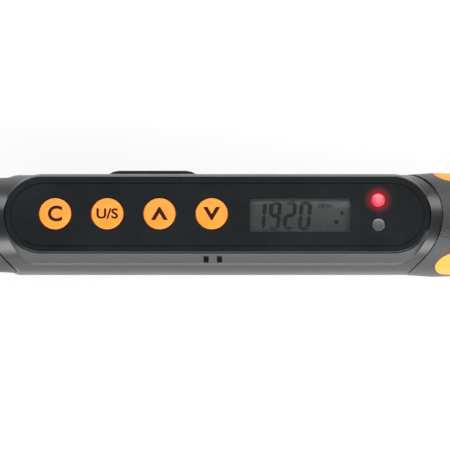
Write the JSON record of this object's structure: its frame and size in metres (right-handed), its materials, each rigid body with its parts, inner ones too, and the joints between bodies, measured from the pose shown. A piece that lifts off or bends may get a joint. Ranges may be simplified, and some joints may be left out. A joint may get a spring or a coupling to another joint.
{
  "type": "torque wrench",
  "caption": "Electronic torque wrench: reversible ratchet head with square drive, steel tube, oblong display housing with keys, lamps and LCD, and a soft two-colour battery grip.",
  "frame": {"origin": "centre of the square drive's end face", "axes": "+X along the wrench from the drive towards the grip, +Z out of the display, the square drive points along -Z"},
  "size_m": [0.51, 0.044, 0.0466],
  "materials": {
    "chrome_steel": "polished chrome vanadium steel",
    "black_steel": "black oxide steel",
    "spring_steel": "hardened bright steel",
    "brass": "plated contact brass",
    "black_plastic": "moulded black plastic, satin",
    "gloss_plate": "smooth dark face plate",
    "orange_plastic": "moulded orange keys",
    "clear_plastic": "clear display lens",
    "lcd_glass": "grey liquid crystal glass",
    "red_lens": "red lamp lens",
    "grey_lens": "unlit lamp lens",
    "circuit_green": "green solder mask",
    "black_rubber": "fine textured black rubber",
    "orange_rubber": "orange soft inlay",
    "grey_rubber": "grey silicone rubber",
    "cell_wrap": "printed cell sleeve",
    "cable_sheath": "red insulated wire"
  },
  "bodies": {
    "frame": {"head_housing": "chrome_steel", "head_cover": "black_steel", "cover_screw_1": "black_steel", "cover_screw_2": "black_steel", "cover_screw_3": "black_steel", "core_tube": "chrome_steel", "strain_beam": "black_steel", "strain_gauge_left": "brass", "strain_gauge_right": "brass", "beam_pin_front": "black_steel", "beam_pin_rear": "black_steel", "gauge_cable": "cable_sheath", "battery_cable": "cable_sheath", "neck_collar": "black_plastic", "housing_upper": "black_plastic", "housing_lower": "black_plastic", "housing_screw_1": "black_steel", "housing_screw_2": "black_steel", "housing_screw_3": "black_steel", "housing_screw_4": "black_steel", "face_plate": "gloss_plate", "lcd_lens": "clear_plastic", "lcd_module": "lcd_glass", "led_red": "red_lens", "led_green": "grey_lens", "circuit_board": "circuit_green", "key_mat": "grey_rubber", "buzzer": "grey_rubber", "usb_socket": "spring_steel", "grip_core": "black_plastic", "grip_sleeve": "black_rubber", "grip_inlay_left": "orange_rubber", "grip_inlay_right": "orange_rubber", "cell_1": "cell_wrap", "cell_2": "cell_wrap", "cell_holder": "black_plastic", "front_contact": "brass"},
    "drive": {"drive_gear": "spring_steel", "square_drive": "spring_steel", "release_spring": "spring_steel"},
    "ball": {"detent_ball": "chrome_steel"},
    "button": {"release_button": "chrome_steel"},
    "lever": {"reversing_lever": "black_steel"},
    "pawl": {"pawl": "spring_steel"},
    "key_clear": {"key_clear": "orange_plastic"},
    "key_units": {"key_units": "orange_plastic"},
    "key_up": {"key_up": "orange_plastic"},
    "key_down": {"key_down": "orange_plastic"},
    "port_cover": {"port_cover": "black_rubber"},
    "cap_carrier": {"rear_contact": "brass", "cell_spring": "spring_steel"},
    "end_cap": {"end_cap": "black_plastic", "cap_seal": "grey_rubber"}
  },
  "joints": [
    {"name": "drive_turn", "type": "hinge", "parent": "frame", "child": "drive", "pos_m": [0, 0, 0.0285], "axis": [0, 0, 1], "continuous": true},
    {"name": "button_press", "type": "slide", "parent": "drive", "child": "button", "axis": [0, 0, -1], "range_m": [0, 0.0022], "stiffness_N_per_m": 300, "springref_m": -0.003, "deforming": ["release_spring"]},
    {"name": "ball_retract", "type": "slide", "parent": "drive", "child": "ball", "axis": [-1, 0, 0], "range_m": [0, 0.0013]},
    {"name": "lever_turn", "type": "hinge", "parent": "frame", "child": "lever", "pos_m": [0.021, 0, 0.041], "axis": [0, 0, 1], "range_deg": [-20, 20]},
    {"name": "pawl_turn", "type": "hinge", "parent": "frame", "child": "pawl", "pos_m": [0.021, 0, 0.0285], "axis": [0, 0, 1], "range_deg": [-10, 10]},
    {"name": "key_clear_press", "type": "slide", "parent": "frame", "child": "key_clear", "axis": [0, 0, -1], "range_m": [0, 0.0005], "stiffness_N_per_m": 400, "springref_m": -0.001},
    {"name": "key_units_press", "type": "slide", "parent": "frame", "child": "key_units", "axis": [0, 0, -1], "range_m": [0, 0.0005], "stiffness_N_per_m": 400, "springref_m": -0.001},
    {"name": "key_up_press", "type": "slide", "parent": "frame", "child": "key_up", "axis": [0, 0, -1], "range_m": [0, 0.0005], "stiffness_N_per_m": 400, "springref_m": -0.001},
    {"name": "key_down_press", "type": "slide", "parent": "frame", "child": "key_down", "axis": [0, 0, -1], "range_m": [0, 0.0005], "stiffness_N_per_m": 400, "springref_m": -0.001},
    {"name": "port_cover_hinge", "type": "hinge", "parent": "frame", "child": "port_cover", "pos_m": [0.19225, 0.01796, 0.02231], "axis": [-1, 0, 0], "range_deg": [0, 110]},
    {"name": "cap_travel", "type": "slide", "parent": "frame", "child": "cap_carrier", "axis": [1, 0, 0], "range_m": [0, 0.009]},
    {"name": "cap_turn", "type": "hinge", "parent": "cap_carrier", "child": "end_cap", "pos_m": [0.464, 0, 0.0285], "axis": [1, 0, 0], "range_deg": [0, 1080]}
  ],
  "couplings": [
    {"joint": "ball_retract", "follows": "button_press", "ratio": 0.59},
    {"joint": "pawl_turn", "follows": "lever_turn", "ratio": 0.4},
    {"joint": "cap_travel", "follows": "cap_turn", "m_per_rad": 0.00047693}
  ]
}
